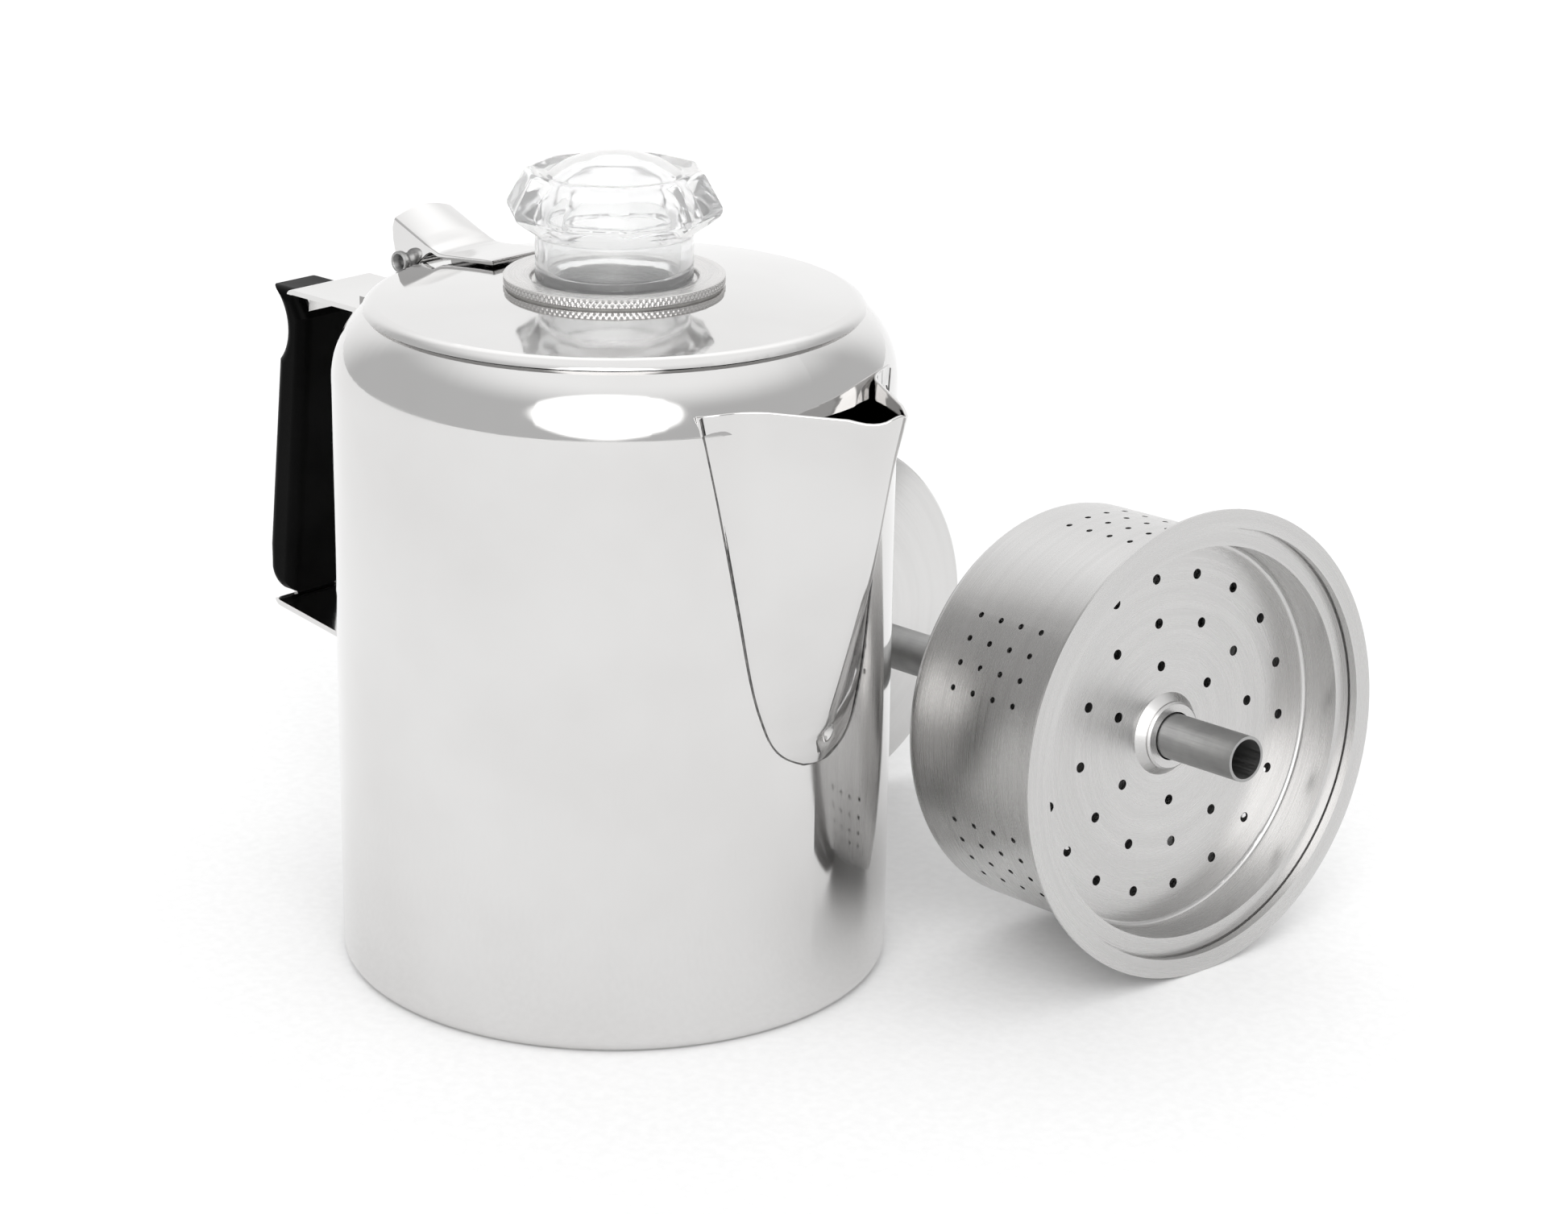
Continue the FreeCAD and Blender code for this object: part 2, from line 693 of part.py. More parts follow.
def make_knob_nut():
    body = new_body("knob_nut")
    top = "lid_seat_height - lid_sheet"
    extrude(body, "XY_Plane", [
        ("nut_radius", "0"),
        ("nut_radius * 0.5", "nut_radius * 0.866"),
        ("-nut_radius * 0.5", "nut_radius * 0.866"),
        ("-nut_radius", "0"),
        ("-nut_radius * 0.5", "-nut_radius * 0.866"),
        ("nut_radius * 0.5", "-nut_radius * 0.866"),
    ], "nut_height", offset=f"{top} - nut_height")
    sketch = new_sketch(body, "XY_Plane", top)
    add_circle(sketch, "0", "0", "ring_sleeve")
    add_feature(body, "Pocket", sketch, True, Length="nut_height")


def make_pump_foot():
    """Spun cone with a turned-down edge and a collar brazed to the tube."""
    body = new_body("pump_foot")
    thick = "foot_sheet"
    spin(body, [
        (f"foot_radius - {thick}", "0"),
        ("foot_radius", "0"),
        ("foot_radius", "foot_edge"),
        (f"foot_radius - {thick}", f"foot_edge + {thick}"),
        ("foot_cone_radius", "foot_cone_height"),
        ("foot_collar_radius", f"foot_cone_height + {thick}"),
        ("foot_collar_radius", "foot_collar"),
        ("tube_radius", "foot_collar"),
        ("tube_radius", "foot_cone_height"),
        ("foot_cone_radius - 0.2", f"foot_cone_height - {thick}"),
        (f"foot_radius - {thick}", f"foot_edge - 0.1"),
    ])


def make_pump_tube():
    body = new_body("pump_tube")
    sketch = new_sketch(body, "XY_Plane", "foot_sheet")
    add_circle(sketch, "0", "0", "tube_radius")
    add_circle(sketch, "0", "0", "tube_bore")
    add_feature(body, "Pad", sketch, Length="tube_top - foot_sheet")


def make_basket_stop():
    """Collar pressed on the tube, which the basket stands on."""
    body = new_body("basket_stop")
    spin(body, [
        ("tube_radius", "basket_floor - stop_height"),
        ("stop_radius - 1.5", "basket_floor - stop_height"),
        ("stop_radius", "basket_floor - stop_height + 1.5"),
        ("stop_radius", "basket_floor"),
        ("tube_radius", "basket_floor"),
    ])


def make_basket_shell():
    """Cup with a rounded floor corner, a ledge for the spreader, a flange and patches of holes."""
    body = new_body("basket_shell")
    thick = "basket_sheet"
    spin(body, [
        ("collar_radius", "basket_floor"),
        ("basket_radius - basket_corner", "basket_floor", "basket_corner"),
        ("basket_radius", "basket_floor + basket_corner"),
        ("basket_radius", "basket_ledge"),
        ("basket_step", "basket_ledge"),
        ("basket_step", f"flange_height - {thick}"),
        ("flange_radius", f"flange_height - {thick}"),
        ("flange_radius", "flange_height"),
        (f"basket_step - {thick}", "flange_height"),
        (f"basket_step - {thick}", f"basket_ledge + {thick}"),
        (f"basket_radius - {thick}", f"basket_ledge + {thick}"),
        (f"basket_radius - {thick}", "basket_floor + basket_corner", f"-(basket_corner - {thick})"),
        ("basket_radius - basket_corner", f"basket_floor + {thick}"),
        ("collar_radius", f"basket_floor + {thick}"),
    ])
    sketch = new_sketch(body, "YZ_Plane", "basket_radius * 0.8")
    for column in (-1.5, -0.5, 0.5, 1.5):
        for row in range(4):
            add_circle(sketch, f"{column} * patch_side_pitch", f"patch_first + {row} * patch_pitch",
                       "patch_hole")
    patch = add_feature(body, "Pocket", sketch, True, Length="basket_radius", Reversed=True)
    repeat(body, patch, "patch_count")
    for radius, count in HOLE_RINGS:
        hole_ring(body, radius, count, f"basket_floor + {thick}", thick)


def make_basket_collar():
    """Eyelet in the basket's floor, loose round the tube."""
    body = new_body("basket_collar")
    thick = "basket_sheet"
    spin(body, [
        ("collar_bore", "basket_floor"),
        ("collar_radius", "basket_floor"),
        ("collar_radius", f"basket_floor + {thick}"),
        ("collar_flange", f"basket_floor + {thick}"),
        ("collar_flange", f"basket_floor + 2 * {thick}"),
        ("collar_radius", f"basket_floor + 2 * {thick}"),
        ("collar_radius", "collar_top"),
        ("collar_bore", "collar_top"),
    ])


def make_spreader_plate():
    """Pan with a rim on the basket's ledge, a raised boss in the middle and rings of holes."""
    body = new_body("spreader_plate")
    thick = "basket_sheet"
    rim = f"basket_ledge + {thick}"
    spin(body, [
        ("spreader_rim", rim),
        ("spreader_rim", f"{rim} + {thick}"),
        (f"spreader_radius - {thick}", f"{rim} + {thick}"),
        (f"spreader_radius - {thick}", "spreader_plate_top + spreader_corner", "-spreader_corner"),
        (f"spreader_radius - {thick} - spreader_corner", "spreader_plate_top"),
        ("boss_radius", "spreader_plate_top"),
        ("boss_top_radius", "spreader_plate_top + boss_height"),
        ("collar_radius", "spreader_plate_top + boss_height"),
        ("collar_radius", f"spreader_plate_top + boss_height - {thick}"),
        (f"boss_top_radius - 0.2", f"spreader_plate_top + boss_height - {thick}"),
        (f"boss_radius - 0.2", f"spreader_plate_top - {thick}"),
        (f"spreader_radius - {thick} - spreader_corner", f"spreader_plate_top - {thick}",
         f"spreader_corner + {thick}"),
        ("spreader_radius", "spreader_plate_top + spreader_corner"),
        ("spreader_radius", rim),
    ])
    for radius, count in HOLE_RINGS:
        hole_ring(body, radius, count, "spreader_plate_top", thick)


def make_spreader_ferrule():
    """Rolled eyelet in the spreader's boss, loose round the tube."""
    body = new_body("spreader_ferrule")
    seat = "spreader_plate_top + boss_height"
    spin(body, [
        ("collar_bore", "ferrule_bottom"),
        ("collar_radius", "ferrule_bottom"),
        ("collar_radius", seat),
        ("ferrule_flange", seat),
        ("ferrule_flange", f"{seat} + 0.5"),
        ("ferrule_flange - 0.5", f"{seat} + 0.9"),
        ("collar_bore", f"{seat} + 0.9"),
    ])


def lay_pump_down(labels):
    """Turn the pump and its basket over, so that they rest on the foot's edge and the flange's edge."""
    length = number("flange_height - basket_sheet")
    slope = math.degrees(math.atan2(number("flange_radius - foot_radius"), length))
    yaw = FreeCAD.Rotation(FreeCAD.Vector(0, 0, 1), number("pump_yaw"))
    turn = yaw.multiply(FreeCAD.Rotation(FreeCAD.Vector(0, 1, 0), 90 - slope))
    reach = turn.multVec(FreeCAD.Vector(0, 0, number("flange_height")))
    foot_lift = number("foot_radius") * math.cos(math.radians(slope))
    foot_x = number("flange_centre_x") - reach.x
    foot_y = number("flange_centre_y") - reach.y
    for label in labels:
        item = doc.getObjectsByLabel(label)[0]
        item.Placement = FreeCAD.Placement(FreeCAD.Vector(foot_x, foot_y, foot_lift), turn)


def check_and_export():
    """Stop if anything failed, then write each sub-part to its own file."""
    doc.recompute()
    for item in doc.Objects:
        if "Invalid" in item.State or "Error" in item.State:
            raise RuntimeError(f"{item.Label} failed: {item.State}")
    parts = [item for item in doc.Objects if item.TypeId == "PartDesign::Body"]
    for item in parts:
        if item.Shape.isNull() or not item.Shape.isValid() or len(item.Shape.Solids) != 1:
            raise RuntimeError(f"{item.Label} is not one valid solid")
    os.makedirs("parts", exist_ok=True)
    for item in parts:
        item.Shape.exportStep(f"parts/{item.Label}.step")
        print(f"{item.Label}: {item.Shape.Volume:.0f} mm3")


make_pot_body()
make_spout()
make_handle_strap()
make_handle_grip()
make_hinge_knuckle()
make_hinge_pin()
make_lid_plate()
make_lid_hinge_bracket()
make_knob()
make_knob_ring()
make_knob_gasket()
make_knob_nut()
make_pump_foot()
make_pump_tube()
make_basket_stop()
make_basket_shell()
make_basket_collar()
make_spreader_plate()
make_spreader_ferrule()
lay_pump_down([
    "pump_foot", "pump_tube", "basket_stop",
    "basket_shell", "basket_collar",
    "spreader_plate", "spreader_ferrule",
])
check_and_export()
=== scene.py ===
import json
import math

import bmesh
import bpy
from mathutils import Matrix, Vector


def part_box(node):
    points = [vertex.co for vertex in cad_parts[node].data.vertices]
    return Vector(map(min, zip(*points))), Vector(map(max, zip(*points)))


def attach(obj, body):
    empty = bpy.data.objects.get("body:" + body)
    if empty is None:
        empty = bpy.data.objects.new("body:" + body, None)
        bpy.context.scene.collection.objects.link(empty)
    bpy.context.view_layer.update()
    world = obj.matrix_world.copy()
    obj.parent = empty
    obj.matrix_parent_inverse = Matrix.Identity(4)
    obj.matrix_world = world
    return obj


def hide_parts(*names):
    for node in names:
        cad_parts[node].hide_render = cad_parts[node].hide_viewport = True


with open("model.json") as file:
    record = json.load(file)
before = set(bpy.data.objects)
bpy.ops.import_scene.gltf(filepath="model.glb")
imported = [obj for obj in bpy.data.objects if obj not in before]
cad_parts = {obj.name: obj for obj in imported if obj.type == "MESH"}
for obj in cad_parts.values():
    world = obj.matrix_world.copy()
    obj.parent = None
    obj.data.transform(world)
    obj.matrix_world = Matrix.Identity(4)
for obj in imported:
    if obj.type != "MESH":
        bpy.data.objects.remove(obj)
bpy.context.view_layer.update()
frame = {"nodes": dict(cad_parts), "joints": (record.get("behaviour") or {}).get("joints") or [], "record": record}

MM = 0.001

PATTERN_LOW, PATTERN_HIGH = 0.35, 0.65

# The pump, basket and spreader share an axis. It is read from the joint that slides the basket.
SLIDE = next(joint for joint in frame["joints"] if joint["name"] == "basket_slide")
PUMP_AXIS = Vector(SLIDE["axis"]).normalized()
PUMP_CENTRE = sum(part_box("pump_tube"), Vector()) / 2
PUMP_TURN = PUMP_AXIS.to_track_quat("Z", "Y").to_euler()


# ---------------------------------------------------------------- materials

def add(tree, kind, values=None, **settings):
    """A shader node. Its values are constants or sockets for its inputs."""
    node = tree.nodes.new(f"ShaderNode{kind}")
    for name, value in settings.items():
        setattr(node, name, value)
    for name, value in (values or {}).items():
        if isinstance(value, bpy.types.NodeSocket):
            tree.links.new(value, node.inputs[name])
        else:
            node.inputs[name].default_value = value
    return node


def new_material(name, **values):
    """A Principled material with constant values, and its tree and shader."""
    material = bpy.data.materials.new(name)
    material.use_nodes = True
    tree = material.node_tree
    shader = tree.nodes["Principled BSDF"]
    for socket, value in values.items():
        shader.inputs[socket.replace("_", " ")].default_value = value
    return material, tree, shader


def noise(tree, vector, scale, detail=3.0):
    """Noise pattern. Most of its values are between PATTERN_LOW and PATTERN_HIGH."""
    texture = add(tree, "TexNoise", {"Vector": vector, "Scale": scale, "Detail": detail,
                                     "Roughness": 0.55})
    return texture.outputs["Fac"]


def spread(tree, pattern, low, high):
    """A noise pattern's values, spread from low to high."""
    mapped = add(tree, "MapRange", {"Value": pattern, "From Min": PATTERN_LOW, "From Max": PATTERN_HIGH,
                                    "To Min": low, "To Max": high})
    return mapped.outputs["Result"]


def colour(tree, shader, pattern, low, high):
    """Base colour that goes from low to high with a pattern."""
    blend = add(tree, "Mix", {"Factor": spread(tree, pattern, 0.0, 1.0)}, data_type="RGBA")
    blend.inputs[6].default_value = (*low, 1.0)
    blend.inputs[7].default_value = (*high, 1.0)
    tree.links.new(blend.outputs[2], shader.inputs["Base Color"])


def dullness(tree, shader, pattern, low, high):
    """Roughness that goes from low to high with a pattern."""
    tree.links.new(spread(tree, pattern, low, high), shader.inputs["Roughness"])


def bump(tree, shader, height, distance, strength=1.0):
    """Relief on a shader, laid over any relief that it already has."""
    relief = add(tree, "Bump", {"Height": height, "Distance": distance, "Strength": strength})
    links = shader.inputs["Normal"].links
    if links:
        tree.links.new(links[0].from_socket, relief.inputs["Normal"])
    tree.links.new(relief.outputs["Normal"], shader.inputs["Normal"])


def axis_coordinates(tree, centre, turn):
    """Places measured from an axis: x and y across it, z along it."""
    place = add(tree, "TexCoord")
    mapped = add(tree, "Mapping", {"Vector": place.outputs["Object"], "Location": centre,
                                   "Rotation": turn}, vector_type="TEXTURE")
    return mapped.outputs["Vector"]


def lathe_lines(tree, vector, pitch, stretch):
    """Coordinates for noise that runs round the axis in lines of the given pitch."""
    flat = add(tree, "VectorMath", {0: vector, 1: (1.0, 1.0, 0.0)}, operation="MULTIPLY")
    radius = add(tree, "VectorMath", {0: flat.outputs["Vector"]}, operation="LENGTH")
    spoke = add(tree, "VectorMath", {0: flat.outputs["Vector"]}, operation="NORMALIZE")
    round_it = add(tree, "VectorMath", {0: spoke.outputs["Vector"]}, operation="SCALE")
    round_it.inputs["Scale"].default_value = stretch
    height = add(tree, "SeparateXYZ", {"Vector": vector})
    across = add(tree, "Math", {0: radius.outputs["Value"], 1: height.outputs["Z"]}, operation="ADD")
    fine = add(tree, "Math", {0: across.outputs["Value"], 1: 1.0 / pitch}, operation="MULTIPLY")
    upright = add(tree, "CombineXYZ", {"Z": fine.outputs["Value"]})
    both = add(tree, "VectorMath", {0: round_it.outputs["Vector"], 1: upright.outputs["Vector"]},
               operation="ADD")
    return both.outputs["Vector"]


def tangent_round(tree, shader, centre, axis):
    """Point the shader's anisotropy round an axis."""
    place = add(tree, "TexCoord")
    arm = add(tree, "VectorMath", {0: place.outputs["Object"], 1: centre}, operation="SUBTRACT")
    round_it = add(tree, "VectorMath", {0: axis, 1: arm.outputs["Vector"]}, operation="CROSS_PRODUCT")
    world = add(tree, "VectorTransform", {"Vector": round_it.outputs["Vector"]},
                vector_type="VECTOR", convert_from="OBJECT", convert_to="WORLD")
    unit = add(tree, "VectorMath", {0: world.outputs["Vector"]}, operation="NORMALIZE")
    tree.links.new(unit.outputs["Vector"], shader.inputs["Tangent"])


def polished_steel():
    """Mirror-polished sheet: slightly wavy, with faint polishing haze and hairlines."""
    material, tree, shader = new_material("polished_steel", Metallic=1.0)
    place = add(tree, "TexCoord").outputs["Object"]
    cloud = noise(tree, place, 22.0)
    colour(tree, shader, cloud, (0.665, 0.658, 0.652), (0.70, 0.695, 0.69))
    haze = noise(tree, place, 60.0, detail=5.0)
    dullness(tree, shader, haze, 0.045, 0.10)
    bump(tree, shader, noise(tree, place, 14.0, detail=1.0), 0.35 * MM)
    lines = lathe_lines(tree, place, 0.25 * MM, 6.0)
    bump(tree, shader, noise(tree, lines, 1.0, detail=2.0), 0.0025 * MM)
    return material


def turned_steel(name, centre, turn, axis, colours, roughness, anisotropy):
    """Sheet brushed round its axis, with lines, stains and a stretched highlight."""
    material, tree, shader = new_material(name, Metallic=1.0, Anisotropic=anisotropy)
    place = axis_coordinates(tree, centre, turn)
    lines = noise(tree, lathe_lines(tree, place, 0.22 * MM, 1.2), 1.0, detail=4.0)
    bands = noise(tree, lathe_lines(tree, place, 2.4 * MM, 0.7), 1.0, detail=3.0)
    colour(tree, shader, bands, *colours)
    dullness(tree, shader, lines, *roughness)
    bump(tree, shader, lines, 0.003 * MM)
    tangent_round(tree, shader, centre, axis)
    return material


def weld_steel():
    """Dark weld line with brighter specks."""
    material, tree, shader = new_material("weld_steel", Metallic=1.0)
    place = add(tree, "TexCoord").outputs["Object"]
    cloud = noise(tree, place, 700.0)
    colour(tree, shader, cloud, (0.10, 0.10, 0.10), (0.24, 0.235, 0.23))
    dullness(tree, shader, cloud, 0.30, 0.55)
    bump(tree, shader, cloud, 0.05 * MM)
    return material


def grey_tube():
    """Matt aluminium tube with fine drawing lines along it."""
    material, tree, shader = new_material("grey_tube", Metallic=1.0)
    place = axis_coordinates(tree, PUMP_CENTRE, PUMP_TURN)
    stretched = add(tree, "Mapping", {"Vector": place, "Scale": (3000.0, 3000.0, 60.0)}).outputs["Vector"]
    lines = noise(tree, stretched, 1.0, detail=3.0)
    cloud = noise(tree, place, 160.0, detail=4.0)
    colour(tree, shader, cloud, (0.36, 0.36, 0.36), (0.42, 0.42, 0.415))
    dullness(tree, shader, lines, 0.36, 0.52)
    bump(tree, shader, lines, 0.015 * MM)
    return material


def black_plastic():
    """Moulded phenolic with a fine pebble and a slight sheen where hands have polished it."""
    material, tree, shader = new_material("black_plastic", Specular_IOR_Level=0.03)
    place = add(tree, "TexCoord").outputs["Object"]
    wear = noise(tree, place, 45.0, detail=4.0)
    colour(tree, shader, wear, (0.001, 0.001, 0.001), (0.003, 0.003, 0.003))
    dullness(tree, shader, wear, 0.30, 0.42)
    bump(tree, shader, noise(tree, place, 1500.0, detail=2.0), 0.02 * MM)
    bump(tree, shader, noise(tree, place, 60.0, detail=1.0), 0.12 * MM)
    return material


def clear_plastic():
    """Clear moulded plastic with flow lines that bend what is seen through it."""
    material, tree, shader = new_material("clear_plastic", Transmission_Weight=0.84, IOR=1.33)
    place = add(tree, "TexCoord").outputs["Object"]
    cloud = noise(tree, place, 70.0)
    colour(tree, shader, cloud, (0.97, 0.975, 0.975), (1.0, 1.0, 1.0))
    dullness(tree, shader, cloud, 0.03, 0.09)
    flow = add(tree, "Mapping", {"Vector": place, "Scale": (90.0, 90.0, 240.0)}).outputs["Vector"]
    bump(tree, shader, noise(tree, flow, 1.0, detail=2.0), 0.10 * MM)
    return material


def seal():
    """Translucent silicone washer."""
    material, tree, shader = new_material("seal", Transmission_Weight=0.3, IOR=1.41)
    place = add(tree, "TexCoord").outputs["Object"]
    cloud = noise(tree, place, 300.0)
    colour(tree, shader, cloud, (0.42, 0.41, 0.40), (0.55, 0.54, 0.52))
    dullness(tree, shader, cloud, 0.35, 0.55)
    bump(tree, shader, cloud, 0.02 * MM)
    return material


def dress(node, material):
    """Give a CAD node its finished material."""
    for slot in frame["nodes"][node].material_slots:
        slot.material = material


def dress_all():
    polished = polished_steel()
    upright = (Vector(), (0.0, 0.0, 0.0), (0.0, 0.0, 1.0))
    leaning = (PUMP_CENTRE, PUMP_TURN, PUMP_AXIS)
    satin = turned_steel("satin_steel", *upright, ((0.62, 0.61, 0.605), (0.68, 0.67, 0.66)),
                         (0.20, 0.32), 0.4)
    brushed = turned_steel("brushed_steel", *leaning, ((0.57, 0.565, 0.56), (0.60, 0.595, 0.59)),
                           (0.24, 0.33), 0.65)
    spun = turned_steel("spun_steel", *leaning, ((0.64, 0.635, 0.63), (0.67, 0.665, 0.66)),
                        (0.11, 0.17), 0.3)
    finishes = {
        "polished_steel": polished,
        "satin_steel": satin,
        "brushed_steel": brushed,
        "grey_tube": grey_tube(),
        "black_plastic": black_plastic(),
        "clear_plastic": clear_plastic(),
        "seal": seal(),
    }
    for part in frame["record"]["subparts"]:
        dress(part["node"], finishes[part["material_slot"]])
    dress("pump_foot", spun)
    return finishes


# ---------------------------------------------------------------- pieces

def eased(corners, steps=5):
    """Closed outline with its corners rounded, or an open one whose end corners aren't.

    A corner is (x, y, rounding, extra): the rounding is how far from the corner the curve starts,
    and extra numbers are carried along.
    """
    made = []
    for index, corner in enumerate(corners):
        here = Vector(corner[:2])
        before = Vector(corners[index - 1][:2])
        after = Vector(corners[(index + 1) % len(corners)][:2])
        cut = min(corner[2], (before - here).length * 0.5, (after - here).length * 0.5)
        if cut < 1e-6:
            made.append((*here, *corner[3:]))
            continue
        start = here + (before - here).normalized() * cut
        end = here + (after - here).normalized() * cut
        for step in range(steps + 1):
            share = step / steps
            point = start.lerp(here, share).lerp(here.lerp(end, share), share)
            made.append((*point, *corner[3:]))
    return made


def new_piece(name, points, faces, material, body, stands_for=()):
    """A smooth mesh piece, in millimetres, that rides on a body and may stand for CAD nodes."""
    mesh = bpy.data.meshes.new(name)
    mesh.from_pydata([Vector(point) * MM for point in points], [], faces)
    work = bmesh.new()
    work.from_mesh(mesh)
    bmesh.ops.remove_doubles(work, verts=work.verts, dist=1e-6)
    bmesh.ops.recalc_face_normals(work, faces=work.faces)
    work.to_mesh(mesh)
    work.free()
    mesh.shade_smooth()
    mesh.set_sharp_from_angle(angle=math.radians(38.0))
    piece = bpy.data.objects.new(name, mesh)
    bpy.context.collection.objects.link(piece)
    mesh.materials.append(material)
    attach(piece, body)
    if stands_for:
        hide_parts(*stands_for)
    return piece


def thicken(piece, thickness):
    """Give a surface the thickness of its sheet, in millimetres, on its inner side."""
    shell = piece.modifiers.new("sheet", "SOLIDIFY")
    shell.thickness = thickness * MM
    shell.offset = -1.0


def soften(piece, width):
    """Round a piece's sharp edges by a width in millimetres."""
    edges = piece.modifiers.new("edges", "BEVEL")
    edges.width = width * MM
    edges.segments = 2
    edges.limit_method = "ANGLE"
    edges.angle_limit = math.radians(50.0)


def grid_faces(columns, rows, around, closed):
    """Quads over a grid of points held column by column, joined up around and along if asked."""
    faces = []
    for column in range(columns if around else columns - 1):
        for row in range(rows if closed else rows - 1):
            a = column * rows + row
            b = column * rows + (row + 1) % rows
            c = ((column + 1) % columns) * rows + (row + 1) % rows
            d = ((column + 1) % columns) * rows + row
            faces.append((a, b, c, d))
    return faces


def turned_points(outline, steps, reshape):
    """Points of an outline turned about Z. Reshape gives a point's radius at an angle."""
    points = []
    for step in range(steps):
        angle = 2.0 * math.pi * step / steps
        for corner in outline:
            radius = reshape(angle, *corner)
            points.append((radius * math.cos(angle), radius * math.sin(angle), corner[1]))
    return points


KNOB_SCALLOPS = 10
KNOB_STEPS = 240


def make_knob(material):
    """Hollow knob: scallops round the head, sharp ridges between them, and a domed top."""
    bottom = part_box("knob")[0].z / MM
    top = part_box("knob")[1].z / MM
    # Radius, height, rounding, depth of the scallops there.
    outline = [
        (12.0, bottom, 0.0, 0.0),
        (15.0, bottom, 0.3, 0.0),
        (15.0, bottom + 1.0, 0.3, 0.0),
        (14.0, bottom + 1.0, 0.2, 0.0),
        (14.0, bottom + 7.1, 0.2, 0.0),
        (17.4, bottom + 7.1, 0.4, 0.0),
        (17.4, bottom + 17.6, 0.7, 0.0),
        (20.8, bottom + 19.8, 0.5, 0.4),
        (23.5, bottom + 21.8, 0.7, 1.2),
        (24.0, bottom + 23.4, 0.9, 1.4),
        (22.0, bottom + 27.0, 0.8, 1.4),
        (19.7, bottom + 31.1, 1.0, 1.1),
        (18.0, bottom + 31.5, 0.6, 0.6),
        (15.4, bottom + 30.5, 0.5, 0.0),
        (14.6, bottom + 30.7, 0.3, 0.0),
        (11.0, top - 2.25, 1.5, 0.0),
        (5.8, top - 0.55, 1.5, 0.0),
        (0.0, top, 0.0, 0.0),
        (0.0, bottom + 26.6, 0.0, 0.0),
        (9.0, bottom + 25.4, 1.5, 0.0),
        (12.6, bottom + 22.4, 1.5, 0.0),
        (14.6, bottom + 17.6, 1.0, 0.0),
        (14.6, bottom + 9.6, 0.8, 0.0),
        (12.0, bottom + 7.1, 0.8, 0.0),
    ]

    def scalloped(angle, radius, height, depth):
        phase = (angle * KNOB_SCALLOPS / (2.0 * math.pi)) % 1.0
        return radius - depth * (1.0 - abs(2.0 * phase - 1.0) ** 2.2)

    rounded = eased(outline, 6)
    points = turned_points(rounded, KNOB_STEPS, scalloped)
    faces = grid_faces(KNOB_STEPS, len(rounded), True, True)
    new_piece("clear_knob", points, faces, material, "knob", ("knob",))


# Knurl on the knob's ring: teeth round it, height over which its lines shift by a tooth, and depth.
KNURL_TEETH, KNURL_LEAD, KNURL_DEPTH = 120, 0.8, 0.30


def make_knob_ring(material):
    """Ring whose edge has a fine diamond knurl between two narrow bevels."""
    steps = KNURL_TEETH * 6
    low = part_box("knob_gasket")[1].z / MM
    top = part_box("knob_ring")[1].z / MM
    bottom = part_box("knob_ring")[0].z / MM
    band = [low + 0.30 + 0.2 * row for row in range(9)]
    outline = [
        (14.1, bottom, 0.0, 0.0),
        (15.3, bottom, 0.0, 0.0),
        (15.3, low, 0.0, 0.0),
        (24.05, low, 0.0, 0.0),
        (24.4, low + 0.25, 0.0, 0.0),
        *[(24.4, height, 0.0, KNURL_DEPTH) for height in band],
        (24.4, top - 0.25, 0.0, 0.0),
        (24.1, top, 0.1, 0.0),
        (19.9, top - 0.15, 0.3, 0.0),
        (18.6, top - 0.5, 0.4, 0.0),
        (18.2, top - 1.55, 0.2, 0.0),
        (14.1, top - 1.6, 0.0, 0.0),
    ]

    def knurled(angle, radius, height, deep):
        turn = angle * KNURL_TEETH / (2.0 * math.pi)
        rise = (height - low) / KNURL_LEAD
        ridges = [abs(2.0 * ((turn + way * rise) % 1.0) - 1.0) for way in (0.5, -0.5)]
        return radius - deep * max(ridges)

    rounded = eased(outline, 3)
    points = turned_points(rounded, steps, knurled)
    faces = grid_faces(steps, len(rounded), True, True)
    new_piece("knurled_ring", points, faces, material, "lid", ("knob_ring",))


def between(value, places):
    """Straight-line value at a place among (place, value) pairs."""
    for (start, low), (end, high) in zip(places, places[1:]):
        if value <= end:
            return low + (high - low) * (value - start) / (end - start)
    return places[-1][1]


# The hood bends into the flat tongue this far in front of its back edge.
HOOD_FOLD = 12.4
# Depth of the hood's turned-down side past the fold.
HOOD_LIP = 1.0
# The ears' back edge is straight up to this far above the pin, and bows out over that.
EAR_STRAIGHT = 1.8


def hood_leg(place, edge, back, pin, ear):
    """How far the hood's sides reach down from its edge: round the pin, then up to the fold."""
    fold = back + HOOD_FOLD
    if place >= fold:
        depth = HOOD_LIP
    elif place > pin.x:
        depth = edge - 0.2 - between(place, [(pin.x, pin.z - ear), (fold, edge - HOOD_LIP)])
    else:
        depth = edge - pin.z + math.sqrt(ear ** 2 - min(ear, pin.x - place) ** 2)
    return max(HOOD_LIP, depth) * min(1.0, 0.25 + (place - back) * 2.4)


def hood_outline(half, edge, crown, leg, rounding):
    """The hood's section across its width: a side, the crowned top and the other side."""
    outline = [(-half, edge - leg, 0.0), (-half, edge - leg * 0.5, 0.0), (-half, edge, rounding)]
    for step in range(-6, 7):
        across = step / 7.0
        outline.append((half * across, edge + crown * (1.0 - across ** 2), 0.0))
    return outline + [(half, edge, rounding), (half, edge - leg * 0.5, 0.0), (half, edge - leg, 0.0)]


